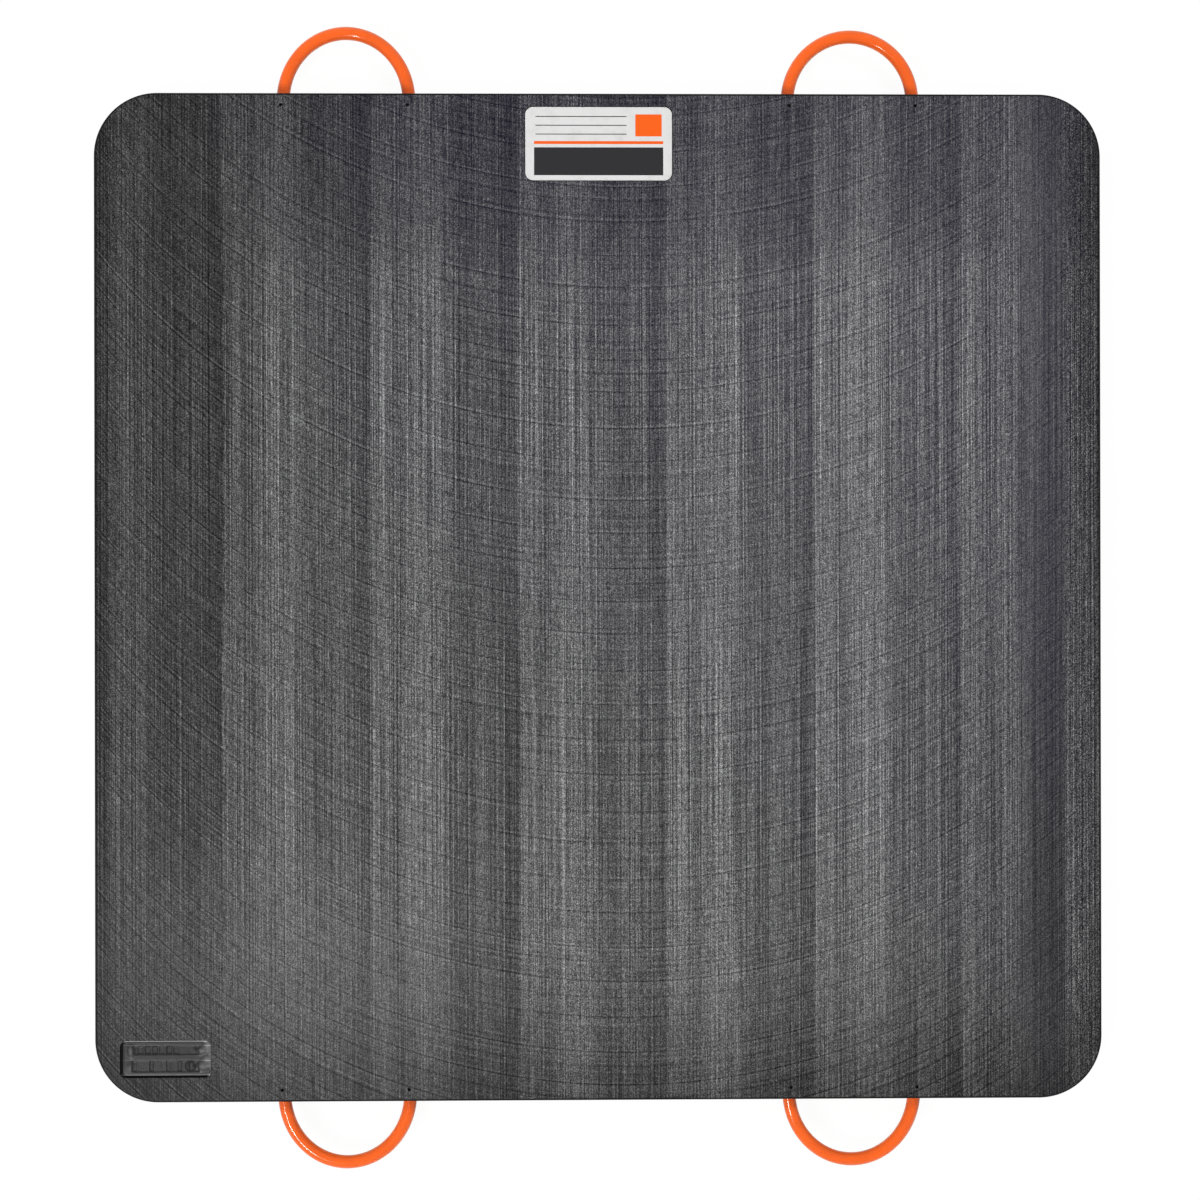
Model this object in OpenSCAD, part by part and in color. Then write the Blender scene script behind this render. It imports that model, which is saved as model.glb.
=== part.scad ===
// Crane outrigger pad: a square plastic slab with rounded corners, four cord handles let into
// two of its sides and held by pins, a bare label in a milled pocket and a bare hot-pressed recess.
// The pad lies flat. The origin is at the centre of its underside, +Z is up, and +Y points to the
// side that has the label.

/* [Pad] */
// Side of the square pad
pad_side = 1219.2; // [1000:0.1:1800]
// Thickness of the pad
pad_thickness = 50.8; // [38:0.1:76]
// Radius of the pad's corners, seen from above
corner_radius = 76.2; // [40:0.1:90]
// Radius of the round-over on the top and bottom edges
edge_radius = 3.2; // [1:0.1:6]

/* [Handles] */
// Diameter of the handle cord
cord_diameter = 15.9; // [10:0.1:20]
// Distance between the centre lines of a handle's two legs
handle_span = 153; // [110:1:200]
// Straight length of each leg between the pad's side and the start of the bend
leg_stand_off = 2; // [1:0.5:30]
// Length of each leg inside the pad
leg_depth = 70; // [35:1:120]
// Distance between the centres of the two handles on one side
handle_spacing = 615; // [440:0.1:680]
// Gap all round between a leg and its bore
leg_clearance = 0.3; // [0.1:0.05:0.8]
// Chamfer at the mouth of each bore
bore_chamfer = 1.5; // [0.5:0.1:3]

/* [Retaining pins] */
// Diameter of the pins that hold the handles' legs
pin_diameter = 3.2; // [2:0.1:5]
// Distance from the pad's side to the pins' axes
pin_setback = 14.5; // [10:0.5:25]
// Depth of the pins' upper ends below the top face
pin_sink = 5; // [2:0.5:9]
// Length of each pin that bites into the pad below the leg
pin_bite = 6; // [3:0.5:8]
// Gap all round between a pin and its hole
pin_clearance = 0.1; // [0.05:0.05:0.3]

/* [Label] */
// Width of the label
label_width = 177.8; // [120:0.1:240]
// Height of the label
label_height = 88.9; // [50:0.1:120]
// Radius of the label's corners
label_corner = 9.5; // [3:0.1:15]
// Thickness of the label
label_thickness = 0.8; // [0.4:0.1:1.5]
// Depth of the pocket that the label lies in
pocket_depth = 1.6; // [1.6:0.1:4]
// Gap all round between the label and its pocket
pocket_clearance = 0.6; // [0.3:0.1:2]
// Distance from the pad's rear side to the label
label_margin = 16.5; // [8:0.5:60]

/* [Pressed recess] */
// Width of the hot-pressed recess
recess_width = 109.5; // [80:0.5:140]
// Height of the hot-pressed recess
recess_height = 44.5; // [36:0.5:60]
// Radius of the recess's corners
recess_corner = 7.5; // [3:0.1:12]
// Depth of the recess's floor below the top face
recess_depth = 2.5; // [0.5:0.1:4]
// Distance from the pad's left and front sides to the recess
recess_margin = 30; // [25:0.5:60]
// Length of the two sunk rows in the recess's floor
row_length = 85; // [50:0.5:100]
// Height of the rear row
rear_row_height = 12; // [6:0.5:14]
// Height of the front row
front_row_height = 15.5; // [6:0.5:18]
// Distance between the two rows
row_gap = 6; // [1:0.5:7]
// Radius of the rows' corners
row_corner = 2; // [0.5:0.1:3]
// Depth of the rows below the recess's floor
row_depth = 0.8; // [0.3:0.1:1.5]

/* [Hidden] */
$fn = 96;

// Cuts start this far outside the face that they open
cut_over = 1;
half_side = pad_side / 2;
straight_side = pad_side - 2 * corner_radius;
cord_height = pad_thickness / 2;
bend_radius = handle_span / 2;
bore_radius = cord_diameter / 2 + leg_clearance;
pin_floor = cord_height - cord_diameter / 2 - pin_bite;
pin_top = pad_thickness - pin_sink;
pin_hole_radius = pin_diameter / 2 + pin_clearance;
label_centre_y = half_side - label_margin - label_height / 2;
recess_centre = [
    -half_side + recess_margin + recess_width / 2,
    -half_side + recess_margin + recess_height / 2
];
// The two rows lie one behind the other, and together they are centred in the recess
rear_row_y = (front_row_height + row_gap) / 2;
front_row_y = -(rear_row_height + row_gap) / 2;

// A rectangle with rounded corners, centred on the origin
module rounded_rectangle(width, height, radius) {
    square([width - 2 * radius, height], center = true);
    square([width, height - 2 * radius], center = true);
    for (x = [-1, 1], y = [-1, 1])
        translate([x * (width / 2 - radius), y * (height / 2 - radius)]) circle(radius);
}

// A flat plate with rounded corners, standing on z = 0
module rounded_plate(width, height, radius, thickness) {
    linear_extrude(thickness) rounded_rectangle(width, height, radius);
}

// Section of the slab's rim, from the inner end of a corner at x = 0 out to the side of the pad
module rim_section() {
    square([corner_radius - edge_radius, pad_thickness]);
    translate([0, edge_radius]) square([corner_radius, pad_thickness - 2 * edge_radius]);
    for (z = [edge_radius, pad_thickness - edge_radius])
        translate([corner_radius - edge_radius, z]) circle(edge_radius);
}

// One quarter of the rim: a straight side and the corner that follows it
module rim_quarter() {
    translate([straight_side / 2, straight_side / 2]) rotate_extrude(angle = 90) rim_section();
    translate([straight_side / 2, straight_side / 2]) rotate([90, 0, 0])
        linear_extrude(straight_side) rim_section();
}

module slab() {
    translate([-straight_side / 2, -straight_side / 2])
        cube([straight_side, straight_side, pad_thickness]);
    for (turn = [0:90:270]) rotate([0, 0, turn]) rim_quarter();
}

// Puts a child that is drawn for the rear side, on the plane x = 0, at both legs of a handle
module at_legs() {
    for (x = [-bend_radius, bend_radius]) translate([x, 0, 0]) children();
}

// Puts a child that is drawn for the rear side, with y = 0 on the pad's side, at one handle.
// across is -1 for the left handle and 1 for the right, and along is 1 for the rear side of the
// pad and -1 for the front
module at_handle(across, along) {
    translate([across * handle_spacing / 2, along * half_side, 0])
        rotate([0, 0, along > 0 ? 0 : 180]) children();
}

module at_all_handles() {
    for (across = [-1, 1], along = [-1, 1]) at_handle(across, along) children();
}

// A blind bore for one leg, with a chamfered mouth
module leg_bore() {
    translate([0, 0, cord_height]) rotate([90, 0, 0]) {
        translate([0, 0, -cut_over]) cylinder(leg_depth + cut_over, bore_radius, bore_radius);
        translate([0, 0, -cut_over])
            cylinder(bore_chamfer + cut_over, bore_radius + bore_chamfer + cut_over, bore_radius);
    }
}

// A round bar along one pin's axis, from one height to another
module pin_bar(radius, bottom, top) {
    translate([0, -pin_setback, bottom]) cylinder(top - bottom, radius, radius);
}

module label_pocket() {
    translate([0, label_centre_y, pad_thickness - pocket_depth])
        rounded_plate(
            label_width + 2 * pocket_clearance, label_height + 2 * pocket_clearance,
            label_corner + pocket_clearance, pocket_depth + cut_over
        );
}

// One sunk row in the floor of the pressed recess
module recess_row(centre_y, height) {
    translate([0, centre_y, -recess_depth - row_depth])
        rounded_plate(row_length, height, row_corner, row_depth + recess_depth + cut_over);
}

module pressed_recess() {
    translate([recess_centre.x, recess_centre.y, pad_thickness]) {
        translate([0, 0, -recess_depth])
            rounded_plate(recess_width, recess_height, recess_corner, recess_depth + cut_over);
        recess_row(rear_row_y, rear_row_height);
        recess_row(front_row_y, front_row_height);
    }
}

module pad() {
    color("#4a4a4c") difference() {
        slab();
        at_all_handles() at_legs() {
            leg_bore();
            pin_bar(pin_hole_radius, pin_floor, pad_thickness + cut_over);
        }
        label_pocket();
        pressed_recess();
    }
}

// One handle: a half ring of cord with two straight legs, cross-drilled for the pins
module handle(across, along) {
    color("#f06a32") at_handle(across, along) difference() {
        translate([0, 0, cord_height]) {
            translate([0, leg_stand_off, 0])
                rotate_extrude(angle = 180) translate([bend_radius, 0]) circle(cord_diameter / 2);
            at_legs() translate([0, leg_stand_off, 0]) rotate([90, 0, 0])
                cylinder(leg_stand_off + leg_depth, cord_diameter / 2, cord_diameter / 2);
        }
        at_legs() pin_bar(pin_hole_radius, pin_floor, pin_top);
    }
}

module retaining_pins() {
    color("silver") at_all_handles() at_legs() pin_bar(pin_diameter / 2, pin_floor, pin_top);
}

module label() {
    color("whitesmoke") translate([0, label_centre_y, pad_thickness - pocket_depth])
        rounded_plate(label_width, label_height, label_corner, label_thickness);
}

pad();
handle(-1, 1);  // handle_rear_left
handle(1, 1);  // handle_rear_right
handle(-1, -1);  // handle_front_left
handle(1, -1);  // handle_front_right
retaining_pins();
label();
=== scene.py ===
"""Crane outrigger pad: the finished surfaces of a square plastic pad with cord handles, pins and a label.

Every length is in metres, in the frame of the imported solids: the pad lies flat on z = 0, centred on the
origin, and +Y points to the side that has the label.
"""

import math
from collections import namedtuple
from functools import partial

import bpy
import numpy as np
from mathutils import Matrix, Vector


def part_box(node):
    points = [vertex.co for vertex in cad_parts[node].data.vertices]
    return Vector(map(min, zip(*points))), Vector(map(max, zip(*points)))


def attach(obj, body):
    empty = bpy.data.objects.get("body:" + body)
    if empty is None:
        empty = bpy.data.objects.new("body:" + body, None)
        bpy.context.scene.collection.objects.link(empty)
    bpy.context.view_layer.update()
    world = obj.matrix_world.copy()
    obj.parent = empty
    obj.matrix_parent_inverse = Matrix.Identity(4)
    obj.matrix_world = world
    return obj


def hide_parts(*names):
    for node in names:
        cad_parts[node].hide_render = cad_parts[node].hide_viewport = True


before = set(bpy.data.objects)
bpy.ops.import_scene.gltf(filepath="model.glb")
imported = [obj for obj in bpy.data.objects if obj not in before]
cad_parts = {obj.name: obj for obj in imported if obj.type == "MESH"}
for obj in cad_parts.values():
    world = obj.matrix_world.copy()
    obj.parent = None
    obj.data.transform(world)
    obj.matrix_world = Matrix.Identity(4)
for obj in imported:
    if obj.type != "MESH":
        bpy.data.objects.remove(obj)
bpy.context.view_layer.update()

bl_info = {
    "name": "Crane outrigger pad",
    "version": (1, 0, 0),
    "blender": (4, 5, 0),
    "location": "View3D > Sidebar > Outrigger pad",
    "description": "Builds the visible surfaces of a crane outrigger pad around its packed solids",
    "category": "Add Mesh",
}

BODY = "root"
HANDLES = ("handle_rear_left", "handle_rear_right", "handle_front_left", "handle_front_right")
FACE_SLOT, RIM_SLOT, PRESSED_SLOT = range(3)
SHARP_ANGLE = math.radians(35)
QUARTER_TURN = math.pi / 2
WHITE = (1, 1, 1, 1)
# A screen's tone to this power is the light that it gives, and no grey is darker than this light
SCREEN_GAMMA = 2.2
DARKEST = 0.003
# Where the bands and the cutter's turns stand at the pad's middle, and what the bands' levels are raised by
BAND_PHASE = 0.55
BAND_GAIN = 1.27
ARC_PHASE = 0.15
# The camera's place along x and y, and its turn about x, y and z
CAMERA_PLACE = (-0.0454, -0.0061)
CAMERA_DEGREES = (0.047, -0.959, -0.104)

pad_low, pad_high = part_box("pad")
label_low, label_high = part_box("label")
label_middle = (label_low + label_high) / 2
label_width = label_high.x - label_low.x
label_height = label_high.y - label_low.y
pins_low, pins_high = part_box("retaining_pins")
handle_low, handle_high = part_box(HANDLES[0])

# A sunk row in the pressed recess: its middle and height along y, and the pitch of its cells along x
Row = namedtuple("Row", "middle height pitch")
# A heap of plastic in the pressed recess: its centre, its reach along x and y, and its height
Heap = namedtuple("Heap", "x y reach_x reach_y height")
# Places in the pressed recess are counted from its own middle
ROWS = (Row(0.0108, 0.0120, 0.0086), Row(-0.0088, 0.0152, 0.0068))
HEAPS = (
    Heap(0.0490, 0.0170, 0.0036, 0.0060, 0.0015),
    Heap(0.0440, 0.0098, 0.0064, 0.0036, 0.0019),
    Heap(0.0490, 0.0005, 0.0040, 0.0040, 0.0017),
    Heap(0.0462, -0.0088, 0.0070, 0.0046, 0.0020),
    Heap(-0.0415, 0.0095, 0.0030, 0.0052, 0.0022),
    Heap(-0.0425, -0.0088, 0.0040, 0.0046, 0.0004),
)


def number_value(name, description, default, **kind):
    """A number that the side panel shows."""
    return bpy.props.FloatProperty(name=name, description=description, default=default, **kind)


def colour_value(name, description, default):
    """A colour that the side panel shows."""
    return bpy.props.FloatVectorProperty(
        name=name, description=description, default=default, size=3, subtype="COLOR"
    )


length_value = partial(number_value, unit="LENGTH")
power_value = partial(number_value, unit="POWER")
share_value = partial(number_value, min=0, max=1)


class PadProperties(bpy.types.PropertyGroup):
    """Sizes and colours of the slab and of the marks that its making leaves."""

    side: length_value("Side", "Side of the square pad", pad_high.x - pad_low.x)
    thickness: length_value("Thickness", "Thickness of the pad", pad_high.z - pad_low.z)
    corner_radius: length_value("Corner radius", "Radius of the corners, from above", 0.0762)
    edge_radius: length_value("Edge radius", "Round-over of the edges", 0.0032)
    bore_clearance: length_value("Bore clearance", "Gap between a leg and its bore", 0.0003)
    bore_chamfer: length_value("Bore chamfer", "Chamfer at the mouth of a bore", 0.0015)
    pocket_clearance: length_value("Pocket clearance", "Gap round the label", 0.0006)
    recess_width: length_value("Recess width", "Width of the pressed recess", 0.1095)
    recess_height: length_value("Recess height", "Height of the pressed recess", 0.0445)
    recess_corner: length_value("Recess corner", "Corner radius of the recess", 0.0075)
    recess_depth: length_value("Recess depth", "Depth of the recess's floor", 0.0025)
    recess_margin: length_value("Recess margin", "Distance from the recess to the sides", 0.03)
    row_depth: length_value("Row depth", "Depth of the sunk rows in the recess", 0.0008)
    tone: share_value("Tone", "Middle tone of the face, as seen on a screen", 0.368)
    sheen: share_value("Sheen", "Light that the face's gloss adds to its tone", 0.0037)
    # The cast is painted reflection: a bluish sheen added into the face's colour
    cast: colour_value("Cast", "Cool cast added to the grey", (0.0016, 0.0, 0.0092))
    band_width: length_value("Band width", "Width after which the lengthwise streaks repeat", 0.1787)
    wander: length_value("Wander", "How far the left border's edge wanders", 0.05)
    arc_radius: length_value("Arc radius", "Radius of the cutter's arc marks", 0.83)
    arc_middle: length_value("Arc middle", "Place across the pad of the arcs' lowest points", 0.033)
    arc_pitch: length_value("Arc pitch", "Distance between two deep arc marks", 0.0419)


class HandleProperties(bpy.types.PropertyGroup):
    """Sizes and colours of the cord handles."""

    diameter: length_value("Diameter", "Diameter of the cord", handle_high.z - handle_low.z)
    bend_inset: length_value("Bend inset", "Depth in the pad at which the legs bend", 0.0045)
    pushed_in: bpy.props.FloatVectorProperty(
        name="Pushed in", description="How far each handle's loop is pushed in",
        default=(0.0006, 0.0036, 0.0, 0.0), size=4, unit="LENGTH",
    )
    colour: colour_value("Colour", "Colour of the cord", (0.96, 0.124, 0.006))


class PinProperties(bpy.types.PropertyGroup):
    """Sizes of the pins that hold the handles' legs."""

    diameter: length_value("Diameter", "Diameter of a pin", 0.0032)
    hole_clearance: length_value("Hole clearance", "Gap between a pin and its hole", 0.0001)
    chamfer: length_value("Chamfer", "Chamfer on a pin's ends and at its hole", 0.0004)


class LabelProperties(bpy.types.PropertyGroup):
    """Sizes and colours of the label plate."""

    corner_radius: length_value("Corner radius", "Radius of the label's corners", 0.0095)
    edge_radius: length_value("Edge radius", "Round-over of the label's edge", 0.0003)
    face: colour_value("Face", "Colour of the plate", (0.715, 0.712, 0.71))
    soil: colour_value("Soil", "Colour of the plate where it is soiled", (0.5, 0.49, 0.47))
    ink: colour_value("Ink", "Colour of the dark print", (0.019, 0.019, 0.021))
    accent: colour_value("Accent", "Colour of the bright print", (0.9, 0.118, 0.008))


class StageProperties(bpy.types.PropertyGroup):
    """Floor, light and camera, which aren't part of the pad."""

    floor_size: length_value("Floor size", "Side of the square floor", 14.0)
    floor_gap: length_value("Floor gap", "How far the floor lies below the pad", 0.0005)
    sky_strength: share_value("Sky strength", "Light from all round", 0.47)
    key_power: power_value("Key power", "Power of the key lamp", 345.0)
    fill_power: power_value("Fill power", "Power of the fill lamp", 200.0)
    glint_power: power_value("Glint power", "Power of the lamp that only highlights show", 60.0)
    camera_height: length_value("Camera height", "Height of the camera above the pad's underside", 2.8)
    lens: number_value("Lens", "Focal length of the camera", 68.15, subtype="DISTANCE_CAMERA")


# Surfaces


def grid_quads(rows, columns, closed):
    """Four-cornered faces of a grid of points, row by row; closed joins the last column to the first."""
    index = np.arange(rows * columns).reshape(rows, columns)
    here = index if closed else index[:, :-1]
    beside = np.roll(index, -1, axis=1) if closed else index[:, 1:]
    return np.stack([here[:-1], beside[:-1], beside[1:], here[1:]], axis=-1).reshape(-1, 4)


def closed_rings(rings):
    """Points and faces of a stack of like rings: quads between the rings and a cap on the first and last."""
    count, around = rings.shape[:2]
    first = np.arange(around)[::-1].tolist()
    last = (np.arange(around) + (count - 1) * around).tolist()
    return rings.reshape(-1, 3), grid_quads(count, around, closed=True).tolist() + [first, last]


def plate_rings(width, height, corner, profile, steps):
    """A profile carried round a rounded rectangle, as a stack of rings.

    A ring's points are the centre of the nearest corner plus the outward direction times the corner radius
    less the profile's inset, at the profile's height. Each corner turns a quarter circle in steps.
    """
    turn = np.arange(4)[:, None] * QUARTER_TURN + np.linspace(0, QUARTER_TURN, steps + 1)
    outward = np.stack([np.cos(turn), np.sin(turn)], axis=-1).reshape(-1, 2)
    signs = np.array([[1, 1], [-1, 1], [-1, -1], [1, -1]])
    centres = np.repeat(signs, steps + 1, axis=0) * (width / 2 - corner, height / 2 - corner)
    inset, level = np.array(profile).T
    flat = centres[None] + outward[None] * (corner - inset)[:, None, None]
    heights = np.broadcast_to(level[:, None, None], flat.shape[:2] + (1,))
    return np.concatenate([flat, heights], axis=-1)


def turned_rings(profile, steps):
    """A profile of radius and height turned about the z axis, as a stack of rings."""
    radius, level = np.array(profile).T
    turn = np.linspace(0, 2 * math.pi, steps, endpoint=False)
    across = radius[:, None] * np.cos(turn)
    along = radius[:, None] * np.sin(turn)
    return np.stack([across, along, np.broadcast_to(level[:, None], across.shape)], axis=-1)


def round_over(inset, level, radius, start, steps):
    """A quarter circle of a profile about a point at inset and level, turning left from the angle start."""
    turn = start + np.linspace(0, QUARTER_TURN, steps + 1)
    return np.stack([inset - radius * np.cos(turn), level + radius * np.sin(turn)], axis=-1).tolist()


def smooth_step(start, end, value):
    """0 up to start, 1 from end on, and a smooth S-shaped change between them; end may be below start."""
    share = np.clip((value - start) / (end - start), 0, 1)
    return share * share * (3 - 2 * share)


def mound(x, y, centre_x, centre_y, reach_x, reach_y):
    """A round-topped heap of height 1 that falls off as a bell curve over its two reaches."""
    return np.exp(-(((x - centre_x) / reach_x) ** 2) - ((y - centre_y) / reach_y) ** 2)


def rounded_distance(x, y, half_width, half_height, corner):
    """Distance inside a rounded rectangle to its outline, negative outside."""
    over_x = np.abs(x) - half_width + corner
    over_y = np.abs(y) - half_height + corner
    outside = np.hypot(np.maximum(over_x, 0), np.maximum(over_y, 0))
    return corner - outside - np.minimum(np.maximum(over_x, over_y), 0)


def new_object(name, points, faces):
    """A mesh object at the origin, with its place in its points."""
    mesh = bpy.data.meshes.new(name)
    mesh.from_pydata(np.asarray(points).tolist(), [], faces)
    mesh.update()
    thing = bpy.data.objects.new(name, mesh)
    bpy.context.scene.collection.objects.link(thing)
    return thing


def stacked(parts):
    """Several sets of points and faces as one set."""
    points, faces, start = [], [], 0
    for part_points, part_faces in parts:
        points.append(part_points)
        faces += [[corner + start for corner in face] for face in part_faces]
        start += len(part_points)
    return np.concatenate(points), faces


def turned_set(profile, steps, places):
    """Points and faces of a turned profile, repeated at several places."""
    upright = turned_rings(profile, steps)
    return stacked([closed_rings(upright + place) for place in places])


def shade(mesh):
    """Smooth shading that stays sharp where two faces meet at a clear angle or have different finishes."""
    mesh.polygons.foreach_set("use_smooth", np.ones(len(mesh.polygons), bool))
    mesh.set_sharp_from_angle(angle=SHARP_ANGLE)
    edge_of_corner = np.empty(len(mesh.loops), int)
    mesh.loops.foreach_get("edge_index", edge_of_corner)
    corners = np.empty(len(mesh.polygons), int)
    mesh.polygons.foreach_get("loop_total", corners)
    finish = np.empty(len(mesh.polygons), int)
    mesh.polygons.foreach_get("material_index", finish)
    lowest = np.full(len(mesh.edges), finish.max())
    highest = np.full(len(mesh.edges), finish.min())
    np.minimum.at(lowest, edge_of_corner, np.repeat(finish, corners))
    np.maximum.at(highest, edge_of_corner, np.repeat(finish, corners))
    sharp = np.empty(len(mesh.edges), bool)
    mesh.edges.foreach_get("use_edge_sharp", sharp)
    mesh.edges.foreach_set("use_edge_sharp", sharp | (lowest != highest))


def finish_piece(piece, slot, *nodes):
    """Puts a finished piece on the pad's body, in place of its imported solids."""
    shade(piece.data)
    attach(piece, BODY)
    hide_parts(*nodes)


# Places worked out from the frame


def handle_side(high):
    """1 for a handle in the pad's rear side and -1 for one in its front, from the top corner of its box."""
    return 1 if high.y > pad_high.y else -1


def leg_places():
    """Where the legs' centre lines cross the pad's sides: x, and 1 for the rear side or -1 for the front."""
    places = []
    for name in HANDLES:
        low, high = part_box(name)
        radius = (high.z - low.z) / 2
        side = handle_side(high)
        places += [(low.x + radius, side), (high.x - radius, side)]
    return places


def cord_height():
    """Height of the cords' centre lines."""
    return (handle_low.z + handle_high.z) / 2


def pin_places(pins):
    """Where the pins' axes meet the plane of the pad's underside."""
    inset = pins_high.y - pins.diameter / 2
    return [np.array((across, side * inset, 0.0)) for across, side in leg_places()]


# Finishes


def opaque(colour):
    """A plain colour with full cover; a colour from nodes stays as it is."""
    return colour if isinstance(colour, bpy.types.NodeSocket) else (*colour, 1)


class NodeTree:
    """A tree of shader nodes, and short calls that add nodes to it and link them."""

    def __init__(self, tree):
        self.tree = tree

    def fill(self, node, inputs):
        """Sets or links a node's inputs."""
        for socket, value in inputs.items():
            if isinstance(value, bpy.types.NodeSocket):
                self.tree.links.new(value, node.inputs[socket])
            else:
                node.inputs[socket].default_value = value
        return node

    def add(self, kind, inputs=None, **settings):
        """Adds a node with its settings and inputs."""
        node = self.tree.nodes.new(kind)
        for setting, value in settings.items():
            setattr(node, setting, value)
        return self.fill(node, inputs or {})

    def math(self, operation, *values):
        """One step of arithmetic."""
        return self.add("ShaderNodeMath", dict(enumerate(values)), operation=operation).outputs[0]

    def chain(self, operation, values):
        """The values joined one after another by the same arithmetic."""
        total = values[0]
        for value in values[1:]:
            total = self.math(operation, total, value)
        return total

    def mix(self, share, first, second):
        """A shader between two others."""
        return self.add("ShaderNodeMixShader", {0: share, 1: first, 2: second}).outputs[0]

    def seen_directly(self):
        """1 for rays from the camera, a mirror or a clear piece, and 0 for the rays that light the pad."""
        rays = self.add("ShaderNodeLightPath").outputs
        names = ("Is Camera Ray", "Is Glossy Ray", "Is Transmission Ray")
        return self.chain("MAXIMUM", [rays[name] for name in names])


class Finish(NodeTree):
    """A material with one shader, and calls for the textures that it is made of.

    Places are in the piece's own space, and a noise's density is its number of cells to the metre.
    """

    def __init__(self, name):
        self.material = bpy.data.materials.new(name)
        self.material.use_nodes = True
        super().__init__(self.material.node_tree)
        self.shader = self.tree.nodes["Principled BSDF"]
        self.place = self.add("ShaderNodeTexCoord").outputs["Object"]
        self.x, self.y, self.z = self.add("ShaderNodeSeparateXYZ", {"Vector": self.place}).outputs

    def sum(self, *values):
        """The values added up."""
        return self.chain("ADD", values)

    def product(self, *values):
        """The values multiplied."""
        return self.chain("MULTIPLY", values)

    def scaled(self, value, factor, offset=0.0):
        """value times factor plus offset."""
        return self.math("MULTIPLY_ADD", value, factor, offset)

    def ramp(self, value, stops, smooth=False):
        """A grey level that runs through stops of place and level."""
        node = self.add("ShaderNodeValToRGB", {"Fac": value})
        node.color_ramp.interpolation = "EASE" if smooth else "LINEAR"
        steps = node.color_ramp.elements
        while len(steps) < len(stops):
            steps.new(1.0)
        for step, (where, level) in zip(steps, stops):
            step.position = where
            step.color = (level, level, level, 1)
        return node.outputs["Color"]

    def centred(self, value, reach):
        """A value that runs from 0 to 1, made to run over reach with its middle at 0."""
        return self.scaled(value, reach, -reach / 2)

    def noise_line(self, value, density, detail=0.0):
        """Noise that changes along one value only, from 0 to 1 about a middle of 0.5."""
        inputs = {"W": value, "Scale": density, "Detail": detail}
        return self.add("ShaderNodeTexNoise", inputs, noise_dimensions="1D").outputs["Fac"]

    def noise(self, density, detail=1.0, roughness=0.5, shift=0.0):
        """Noise with its own density along x, y and z; shift tells two noises of like density apart."""
        moved = self.add(
            "ShaderNodeMapping", {"Vector": self.place, "Scale": density, "Location": (shift, shift, shift)}
        )
        inputs = {"Vector": moved.outputs[0], "Scale": 1.0, "Detail": detail, "Roughness": roughness}
        return self.add("ShaderNodeTexNoise", inputs, noise_dimensions="3D").outputs["Fac"]

    def blend(self, share, first, second):
        """A colour between two others, each a plain colour or one from nodes."""
        inputs = {"Factor": share, 6: opaque(first), 7: opaque(second)}
        return self.add("ShaderNodeMix", inputs, data_type="RGBA").outputs[2]

    def grey(self, tone, cast=(0, 0, 0), sheen=0.0):
        """A grey of a tone as seen on a screen, less the light that its sheen adds, plus a cast; the face's
        cast is a painted cool reflection.
        """
        light = self.math("POWER", self.math("MAXIMUM", tone, 0.0), SCREEN_GAMMA)
        light = self.math("MAXIMUM", self.scaled(light, 1.0, -sheen), DARKEST)
        return self.add("ShaderNodeVectorMath", {0: light, 1: cast}, operation="ADD").outputs[0]

    def bump(self, height, distance, strength):
        """Lets a height in nodes turn the surface's normal."""
        node = self.add("ShaderNodeBump", {"Height": height, "Distance": distance, "Strength": strength})
        self.fill(self.shader, {"Normal": node.outputs["Normal"]})


def feathered_place(f, pad, across, along, streaks, dashes):
    """The place along x, feathered at the left border's inner edge, most of all in the front half."""
    ragged = 0.4 * pad.wander
    waves = f.noise((3.0, 14.0, 3.0), detail=2.0, roughness=0.6, shift=5.0)
    feather = f.sum(f.centred(waves, pad.wander), f.centred(streaks, ragged), f.centred(dashes, ragged))
    loose = f.ramp(along, [(0.2, 1.0), (0.52, 0.3)])
    near_left = f.ramp(across, [(0.16, 1.0), (0.26, 0.0)])
    return f.math("MULTIPLY_ADD", f.product(feather, loose), near_left, f.x)


def band_phase(f, pad, x):
    """How far across its band a place along x lies, from 0 to 1."""
    return f.math("FRACT", f.scaled(x, 1 / pad.band_width, BAND_PHASE))


def band_level(f, pad, across, along, feathered_x):
    """Level of the bands, which repeat across the pad and fade towards its front left corner."""
    full = f.ramp(band_phase(f, pad, feathered_x), [
        (0.0, 0.66), (0.02, 0.86), (0.12, 0.84), (0.19, 0.77), (0.29, 0.87), (0.38, 0.89), (0.47, 0.85),
        (0.55, 0.76), (0.66, 0.70), (0.76, 0.76), (0.86, 0.72), (0.95, 0.66), (1.0, 0.66),
    ])
    faded_level = 0.88
    faded = f.product(
        f.ramp(along, [(0.15, 0.8), (0.22, 0.75), (0.26, 0.4), (0.34, 0.25), (0.45, 0.0)]),
        f.ramp(across, [(0.2, 1.0), (0.36, 0.0)]),
    )
    return f.math("MULTIPLY_ADD", faded, f.math("SUBTRACT", faded_level, full), full)


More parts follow.
